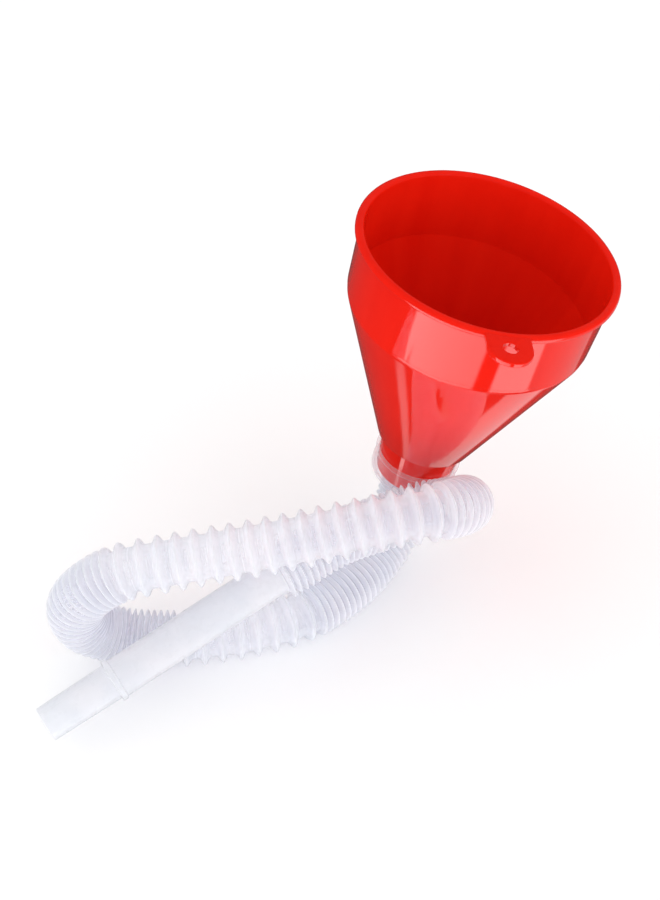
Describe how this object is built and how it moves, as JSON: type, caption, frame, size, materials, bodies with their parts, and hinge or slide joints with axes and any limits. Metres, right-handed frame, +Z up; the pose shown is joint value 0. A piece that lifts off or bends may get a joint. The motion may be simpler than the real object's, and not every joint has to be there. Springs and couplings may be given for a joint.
{
  "type": "flexible spout funnel",
  "caption": "Wide-mouth pouring funnel with a hang tab and a long bendable bellows hose that ends in a smooth stepped nozzle, lying in a loose coil.",
  "frame": {"origin": "middle of the lower face of the bounding box, on the surface that the hose lies on", "axes": "+Z up; +X along the coil, from the nozzle towards the funnel, which leans 12.2 degrees towards +X; -Y is the side of the hang tab and the nozzle"},
  "size_m": [0.3134, 0.242, 0.2323],
  "materials": {
    "red_plastic": "glossy moulded polypropylene",
    "milky_plastic": "milky translucent blow-moulded polyethylene"
  },
  "bodies": {
    "funnel": {"funnel_body": "red_plastic"},
    "cuff": {"hose_cuff": "milky_plastic"},
    "neck_1": {"neck_1": "milky_plastic"},
    "neck_2": {"neck_2": "milky_plastic"},
    "neck_3": {"neck_3": "milky_plastic"},
    "neck_4": {"neck_4": "milky_plastic"},
    "neck_5": {"neck_5": "milky_plastic"},
    "lower_run_1": {"lower_run_1": "milky_plastic"},
    "lower_run_2": {"lower_run_2": "milky_plastic"},
    "lower_run_3": {"lower_run_3": "milky_plastic"},
    "left_bend_1": {"left_bend_1": "milky_plastic"},
    "left_bend_2": {"left_bend_2": "milky_plastic"},
    "left_bend_3": {"left_bend_3": "milky_plastic"},
    "left_bend_4": {"left_bend_4": "milky_plastic"},
    "left_bend_5": {"left_bend_5": "milky_plastic"},
    "left_bend_6": {"left_bend_6": "milky_plastic"},
    "upper_run_1": {"upper_run_1": "milky_plastic"},
    "upper_run_2": {"upper_run_2": "milky_plastic"},
    "right_bend": {"upper_run_3": "milky_plastic", "upper_run_4": "milky_plastic", "right_bend_1": "milky_plastic", "right_bend_2": "milky_plastic", "right_bend_3": "milky_plastic", "right_bend_4": "milky_plastic", "right_bend_5": "milky_plastic", "right_bend_6": "milky_plastic"},
    "right_bend_end": {"right_bend_7": "milky_plastic"},
    "return_run_1": {"return_run_1": "milky_plastic"},
    "return_run_2": {"return_run_2": "milky_plastic"},
    "spout": {"spout": "milky_plastic"}
  },
  "joints": [
    {"name": "cuff_swivel", "type": "hinge", "parent": "funnel", "child": "cuff", "pos_m": [0.04976, 0.0485, 0.0491], "axis": [0.2113, 0, 0.9774], "continuous": true},
    {"name": "neck_bend", "type": "hinge", "parent": "cuff", "child": "neck_1", "pos_m": [0.04976, 0.0485, 0.0491], "axis": [0.7887, -0.607, -0.098], "range_deg": [0, 12], "stiffness_Nm_per_rad": 8},
    {"name": "neck_bend_2", "type": "hinge", "parent": "neck_1", "child": "neck_2", "pos_m": [0.04473, 0.04244, 0.03303], "axis": [0.8724, -0.4883, 0.0219], "range_deg": [0, 12], "stiffness_Nm_per_rad": 8},
    {"name": "neck_bend_3", "type": "hinge", "parent": "neck_2", "child": "neck_3", "pos_m": [0.03938, 0.02877, 0.02276], "axis": [0.9147, -0.4013, -0.0474], "range_deg": [0, 12], "stiffness_Nm_per_rad": 8},
    {"name": "neck_bend_4", "type": "hinge", "parent": "neck_3", "child": "neck_4", "pos_m": [0.03051, 0.01403, 0.01758], "axis": [0.8303, -0.536, -0.1528], "range_deg": [0, 12], "stiffness_Nm_per_rad": 8},
    {"name": "neck_bend_5", "type": "hinge", "parent": "neck_4", "child": "neck_5", "pos_m": [0.02016, -0.00065, 0.01618], "axis": [0.7874, -0.5927, -0.1692], "range_deg": [0, 12], "stiffness_Nm_per_rad": 8},
    {"name": "lower_run_bend", "type": "hinge", "parent": "neck_5", "child": "lower_run_1", "pos_m": [0.00816, -0.01411, 0.01603], "axis": [0.006, 0.0059, -1], "range_deg": [0, 12], "stiffness_Nm_per_rad": 8},
    {"name": "lower_run_stretch", "type": "slide", "parent": "lower_run_1", "child": "lower_run_2", "axis": [-0.924, -0.3824, 0], "range_m": [-0.004, 0.03]},
    {"name": "lower_run_bend_2", "type": "hinge", "parent": "lower_run_2", "child": "lower_run_3", "pos_m": [-0.05993, -0.04663, 0.0161], "axis": [0, 0, -1], "range_deg": [0, 12], "stiffness_Nm_per_rad": 8},
    {"name": "lower_run_bend_3", "type": "hinge", "parent": "lower_run_3", "child": "left_bend_1", "pos_m": [-0.09813, -0.0495, 0.01631], "axis": [-0.0356, 0.0006, -0.9994], "range_deg": [0, 12], "stiffness_Nm_per_rad": 8},
    {"name": "left_bend_open", "type": "hinge", "parent": "left_bend_1", "child": "left_bend_2", "pos_m": [-0.11712, -0.0494, 0.01868], "axis": [-0.1713, -0.7321, -0.6593], "range_deg": [0, 9], "stiffness_Nm_per_rad": 8},
    {"name": "left_bend_open_2", "type": "hinge", "parent": "left_bend_2", "child": "left_bend_3", "pos_m": [-0.13285, -0.0527, 0.02886], "axis": [-0.2605, -0.8441, -0.4686], "range_deg": [0, 9], "stiffness_Nm_per_rad": 8},
    {"name": "left_bend_open_3", "type": "hinge", "parent": "left_bend_3", "child": "left_bend_4", "pos_m": [-0.13876, -0.05582, 0.04644], "axis": [-0.0045, -0.9915, -0.13], "range_deg": [0, 9], "stiffness_Nm_per_rad": 8},
    {"name": "left_bend_open_4", "type": "hinge", "parent": "left_bend_4", "child": "left_bend_5", "pos_m": [-0.13204, -0.05748, 0.06389], "axis": [0.3914, -0.8517, -0.3484], "range_deg": [0, 9], "stiffness_Nm_per_rad": 8},
    {"name": "left_bend_open_5", "type": "hinge", "parent": "left_bend_5", "child": "left_bend_6", "pos_m": [-0.11726, -0.05617, 0.07581], "axis": [0.3969, -0.7174, -0.5726], "range_deg": [0, 9], "stiffness_Nm_per_rad": 8},
    {"name": "left_bend_open_6", "type": "hinge", "parent": "left_bend_6", "child": "upper_run_1", "pos_m": [-0.09905, -0.05414, 0.0812], "axis": [0.1764, -0.6999, -0.6921], "range_deg": [0, 9], "stiffness_Nm_per_rad": 8},
    {"name": "upper_run_stretch", "type": "slide", "parent": "upper_run_1", "child": "upper_run_2", "axis": [0.9865, 0.1214, 0.1104], "range_m": [-0.002, 0.015]},
    {"name": "upper_run_stretch_2", "type": "slide", "parent": "upper_run_2", "child": "right_bend", "axis": [0.9834, 0.1251, 0.1318], "range_m": [-0.002, 0.015]},
    {"name": "spout_swing", "type": "hinge", "parent": "right_bend", "child": "right_bend_end", "pos_m": [0.04843, 0.00327, 0.0658], "axis": [-0.205, -0.0413, 0.9779], "range_deg": [0, 12], "stiffness_Nm_per_rad": 8},
    {"name": "spout_swing_2", "type": "hinge", "parent": "right_bend_end", "child": "return_run_1", "pos_m": [0.03283, -0.00259, 0.06325], "axis": [-0.0722, -0.032, 0.9969], "range_deg": [0, 12], "stiffness_Nm_per_rad": 8},
    {"name": "spout_swing_3", "type": "hinge", "parent": "return_run_1", "child": "return_run_2", "pos_m": [0.00343, -0.01754, 0.06346], "axis": [-0.1129, -0.066, 0.9914], "range_deg": [0, 12], "stiffness_Nm_per_rad": 8},
    {"name": "spout_stretch", "type": "slide", "parent": "return_run_2", "child": "spout", "axis": [-0.827, -0.5079, -0.2409], "range_m": [-0.004, 0.03]}
  ],
  "couplings": [
    {"joint": "neck_bend_2", "follows": "neck_bend", "ratio": 1},
    {"joint": "neck_bend_3", "follows": "neck_bend", "ratio": 1},
    {"joint": "neck_bend_4", "follows": "neck_bend", "ratio": 1},
    {"joint": "neck_bend_5", "follows": "neck_bend", "ratio": 1},
    {"joint": "lower_run_bend_2", "follows": "lower_run_bend", "ratio": 1},
    {"joint": "lower_run_bend_3", "follows": "lower_run_bend", "ratio": 1},
    {"joint": "left_bend_open_2", "follows": "left_bend_open", "ratio": 1},
    {"joint": "left_bend_open_3", "follows": "left_bend_open", "ratio": 1},
    {"joint": "left_bend_open_4", "follows": "left_bend_open", "ratio": 1},
    {"joint": "left_bend_open_5", "follows": "left_bend_open", "ratio": 1},
    {"joint": "left_bend_open_6", "follows": "left_bend_open", "ratio": 1},
    {"joint": "upper_run_stretch_2", "follows": "upper_run_stretch", "ratio": 1},
    {"joint": "spout_swing_2", "follows": "spout_swing", "ratio": 1},
    {"joint": "spout_swing_3", "follows": "spout_swing", "ratio": 1}
  ]
}
